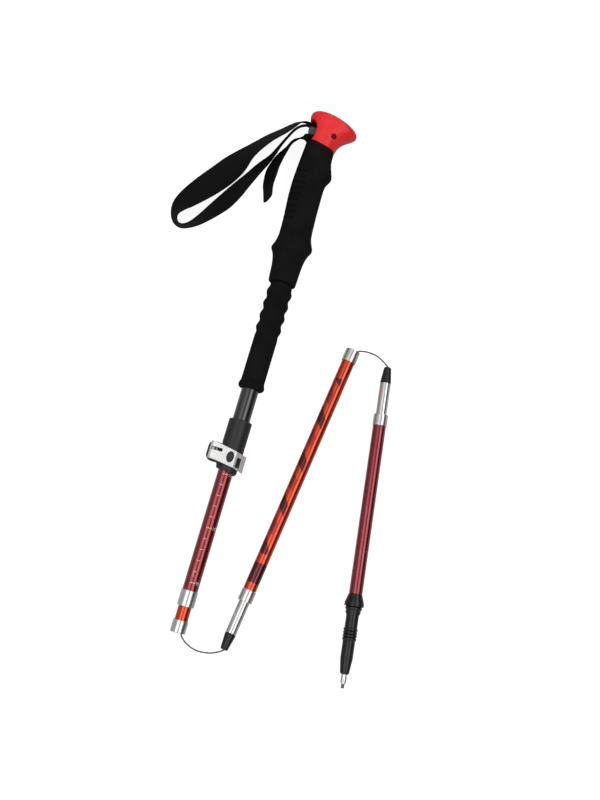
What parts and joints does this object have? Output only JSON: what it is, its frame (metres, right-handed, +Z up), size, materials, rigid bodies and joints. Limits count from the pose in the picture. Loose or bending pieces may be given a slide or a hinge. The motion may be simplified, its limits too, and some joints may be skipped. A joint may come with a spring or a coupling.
{
  "type": "folding trekking pole",
  "caption": "Folding trekking pole, folded: foam grip with wrist strap, lever clamp on a length scale, and two cable-linked sections that swing out and seat on spigots.",
  "frame": {"origin": "centre of the folded pole's box, on the ground that it lies on", "axes": "+Y along the handle section from its open mouth to its head, +X across from the handle section to the folded lower sections, +Z up from the ground"},
  "size_m": [0.2788, 0.5158, 0.0352],
  "materials": {
    "head_red": "satin",
    "foam_black": "closed-cell foam, matt",
    "webbing_black": "woven webbing",
    "wedge_grey": "matt",
    "tube_black": "gloss black coat",
    "clamp_black": "matt",
    "polished_aluminium": "polished",
    "steel": "bright",
    "anodised_maroon": "anodised, glossy",
    "anodised_orange": "anodised, glossy, printed",
    "nylon_black": "matt",
    "coated_cable": "plastic coated",
    "carbide": "dull"
  },
  "bodies": {
    "handle": {"grip_head": "head_red", "strap_pin": "steel", "wrist_strap": "webbing_black", "foam_grip": "foam_black", "foam_extension": "foam_black", "upper_tube": "tube_black", "clamp_collar": "clamp_black", "cam_washer": "steel", "barrel_nut": "steel"},
    "clamp_lever": {"clamp_lever": "polished_aluminium"},
    "clamp_adjuster": {"tension_screw": "steel", "adjuster_knob": "clamp_black"},
    "strap_wedge": {"strap_wedge": "wedge_grey"},
    "scale_tube": {"scale_tube": "anodised_maroon", "guide_bush": "nylon_black", "scale_collar": "polished_aluminium"},
    "tension_sleeve": {"tension_sleeve": "anodised_orange", "sleeve_collar": "polished_aluminium", "cable_anchor_plug": "nylon_black", "upper_cable": "coated_cable", "cable_ferrule": "steel", "button_spring": "steel"},
    "lock_button": {"lock_button": "steel"},
    "mid_cable": {"cable_bend_1": "coated_cable", "middle_cable": "coated_cable"},
    "middle_section": {"middle_nose": "nylon_black", "middle_spigot": "polished_aluminium", "middle_collar": "polished_aluminium", "middle_tube": "anodised_orange", "middle_mouth_collar": "polished_aluminium", "middle_cable_end": "coated_cable"},
    "low_cable": {"cable_bend_2": "coated_cable", "lower_cable": "coated_cable"},
    "lower_section": {"lower_nose": "nylon_black", "lower_spigot": "polished_aluminium", "lower_collar": "polished_aluminium", "lower_tube": "anodised_maroon", "tip_body": "nylon_black", "flex_tip": "steel", "carbide_tip": "carbide", "lower_anchor": "nylon_black", "lower_cable_end": "coated_cable"}
  },
  "joints": [
    {"name": "lever_open", "type": "hinge", "parent": "handle", "child": "clamp_lever", "pos_m": [-0.03107, -0.08421, 0.02003], "axis": [0, -0.9998, -0.0198], "range_deg": [0, 110]},
    {"name": "adjuster_turn", "type": "hinge", "parent": "handle", "child": "clamp_adjuster", "pos_m": [-0.03107, -0.08263, 0.01115], "axis": [0, -0.0198, 0.9998], "continuous": true},
    {"name": "wedge_slide", "type": "slide", "parent": "handle", "child": "strap_wedge", "axis": [1, 0, 0], "range_m": [0, 0.0025]},
    {"name": "length_slide", "type": "slide", "parent": "handle", "child": "scale_tube", "axis": [0, -0.9998, -0.0198], "range_m": [-0.107, 0.12]},
    {"name": "tension_slide", "type": "slide", "parent": "scale_tube", "child": "tension_sleeve", "axis": [0, -0.9998, -0.0198], "range_m": [-0.012, 0.0515]},
    {"name": "button_press", "type": "slide", "parent": "tension_sleeve", "child": "lock_button", "axis": [0, -0.0198, 0.9998], "range_m": [-0.0012, 0], "stiffness_N_per_m": 400, "springref_m": 0.002, "deforming": ["button_spring"]},
    {"name": "fold_1", "type": "hinge", "parent": "tension_sleeve", "child": "mid_cable", "pos_m": [0.00648, -0.25011, 0.00725], "axis": [-0.026, 0.0121, -0.9996], "range_deg": [-7.3, 172.67], "deforming": ["cable_bend_1"]},
    {"name": "seat_1", "type": "slide", "parent": "mid_cable", "child": "middle_section", "axis": [-0.1271, -0.9919, -0.001], "range_m": [0, 0.0508]},
    {"name": "fold_2", "type": "hinge", "parent": "middle_section", "child": "low_cable", "pos_m": [0.08277, 0.03997, 0.00662], "axis": [0.0253, 0.0055, 0.9997], "range_deg": [-14.4, 165.56], "deforming": ["cable_bend_2"]},
    {"name": "seat_2", "type": "slide", "parent": "low_cable", "child": "lower_section", "axis": [-0.1246, 0.9921, -0.012], "range_m": [0, 0.0508]}
  ]
}
